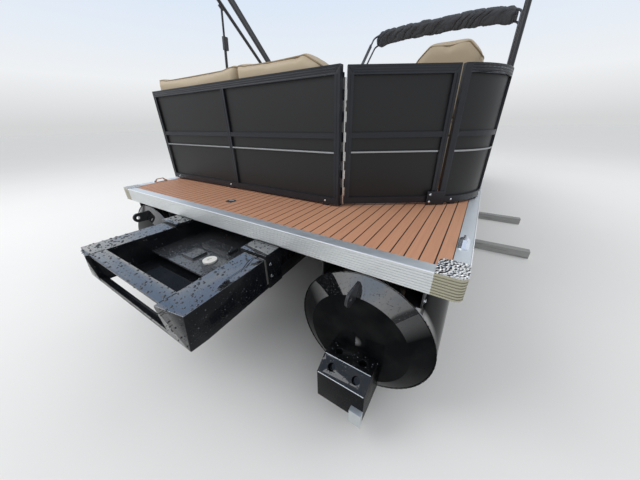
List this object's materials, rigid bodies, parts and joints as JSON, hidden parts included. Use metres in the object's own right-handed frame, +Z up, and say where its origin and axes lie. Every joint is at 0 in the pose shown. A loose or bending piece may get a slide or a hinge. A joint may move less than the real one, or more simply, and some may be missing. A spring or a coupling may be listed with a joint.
{
  "type": "pontoon boat",
  "caption": "Pontoon boat on ground beams, with timber-look deck, black fence with gates, bare motor pod, lounges, helm and folded sun tops.",
  "frame": {"origin": "middle of the footprint on the ground, under the beams", "axes": "+X starboard, +Y towards the bow, +Z up"},
  "size_m": [3.76, 7.3038, 3.0774],
  "materials": {
    "tube_black": "gloss black paint",
    "pod_black": "gloss black paint, wet with rain drops",
    "pod_grey": "satin grey paint",
    "bare_aluminium": "mill finish",
    "anode_zinc": "dull cast zinc",
    "white_plug": "smooth moulding",
    "ribbed_aluminium": "satin anodised, ribbed",
    "cast_chrome": "hammered bright plate",
    "chrome": "polished",
    "hinge_aluminium": "satin",
    "board": "sealed plywood",
    "teak": "timber-look woven plank with dark seams",
    "fence_black": "satin black powder coat",
    "panel_gloss": "gloss black sheet",
    "base_shell": "moulded plastic",
    "tan_vinyl": "soft marine vinyl with sewn seams",
    "console_shell": "gloss moulding",
    "screen": "smoked acrylic",
    "wheel_black": "soft grip",
    "bow_tube": "satin dark grey coat",
    "bow_fitting": "satin black",
    "boot_canvas": "woven canvas, gathered",
    "grey_beam": "weathered grey timber"
  },
  "bodies": {
    "hull": {"bimini_forks": "bow_fitting", "bimini_struts": "bow_fitting", "bow_lounge_cushions": "tan_vinyl", "cleats": "chrome", "corner_castings": "cast_chrome", "corner_frames": "fence_black", "corner_skins": "panel_gloss", "cross_members": "bare_aluminium", "deck_board": "board", "deck_fitting": "chrome", "edge_profiles": "ribbed_aluminium", "fence_frames": "fence_black", "fence_skins": "panel_gloss", "flooring": "teak", "gate_hinge_leaves": "hinge_aluminium", "ground_beams": "grey_beam", "helm_console": "console_shell", "helm_controls": "wheel_black", "lounge_bases": "base_shell", "motor_pod": "pod_black", "pod_plug": "white_plug", "pod_tray": "pod_grey", "port_lounge_cushions": "tan_vinyl", "port_pontoon": "tube_black", "risers": "tube_black", "seat_pedestal": "bare_aluminium", "starboard_lounge_cushions": "tan_vinyl", "starboard_pontoon": "tube_black", "stern_anodes": "anode_zinc", "stern_boxes": "pod_black", "stern_eyes": "pod_black", "stern_lounge_cushions": "tan_vinyl", "windscreen": "screen"},
    "stern_gate": {"stern_gate_frame": "fence_black", "stern_gate_skin": "panel_gloss", "stern_gate_hinge": "hinge_aluminium"},
    "bow_gate": {"bow_gate_frame": "fence_black", "bow_gate_skin": "panel_gloss", "bow_gate_hinge": "hinge_aluminium"},
    "side_gate": {"side_gate_frame": "fence_black", "side_gate_skin": "panel_gloss", "side_gate_hinge": "hinge_aluminium"},
    "steering_wheel": {"steering_wheel": "wheel_black"},
    "helm_seat": {"seat_shell": "console_shell", "seat_cushions": "tan_vinyl"},
    "aft_bimini": {"aft_bimini_bows": "bow_tube", "aft_bimini_boot": "boot_canvas"},
    "forward_bimini": {"forward_bimini_bows": "bow_tube", "forward_bimini_boot": "boot_canvas"}
  },
  "joints": [
    {"name": "stern_gate_hinge", "type": "hinge", "parent": "hull", "child": "stern_gate", "pos_m": [0.555, -2.6075, 1.165], "axis": [0, 0, -1], "range_deg": [0, 110]},
    {"name": "bow_gate_hinge", "type": "hinge", "parent": "hull", "child": "bow_gate", "pos_m": [0.35, 3.1665, 1.165], "axis": [0, 0, 1], "range_deg": [0, 95]},
    {"name": "side_gate_hinge", "type": "hinge", "parent": "hull", "child": "side_gate", "pos_m": [-1.229, 0.7625, 1.165], "axis": [0, 0, 1], "range_deg": [0, 90]},
    {"name": "steering", "type": "hinge", "parent": "hull", "child": "steering_wheel", "pos_m": [0.82, 0.1375, 1.5975], "axis": [0, -0.8659, 0.5003], "range_deg": [-540, 540]},
    {"name": "helm_seat_swivel", "type": "hinge", "parent": "hull", "child": "helm_seat", "pos_m": [0.82, -0.3575, 1.165], "axis": [0, 0, 1], "continuous": true},
    {"name": "aft_bimini_tilt", "type": "hinge", "parent": "hull", "child": "aft_bimini", "pos_m": [0, -0.7795, 1.623], "axis": [-1, 0, 0], "range_deg": [0, 54]},
    {"name": "forward_bimini_tilt", "type": "hinge", "parent": "hull", "child": "forward_bimini", "pos_m": [0, 0.8325, 1.623], "axis": [1, 0, 0], "range_deg": [0, 53]}
  ]
}
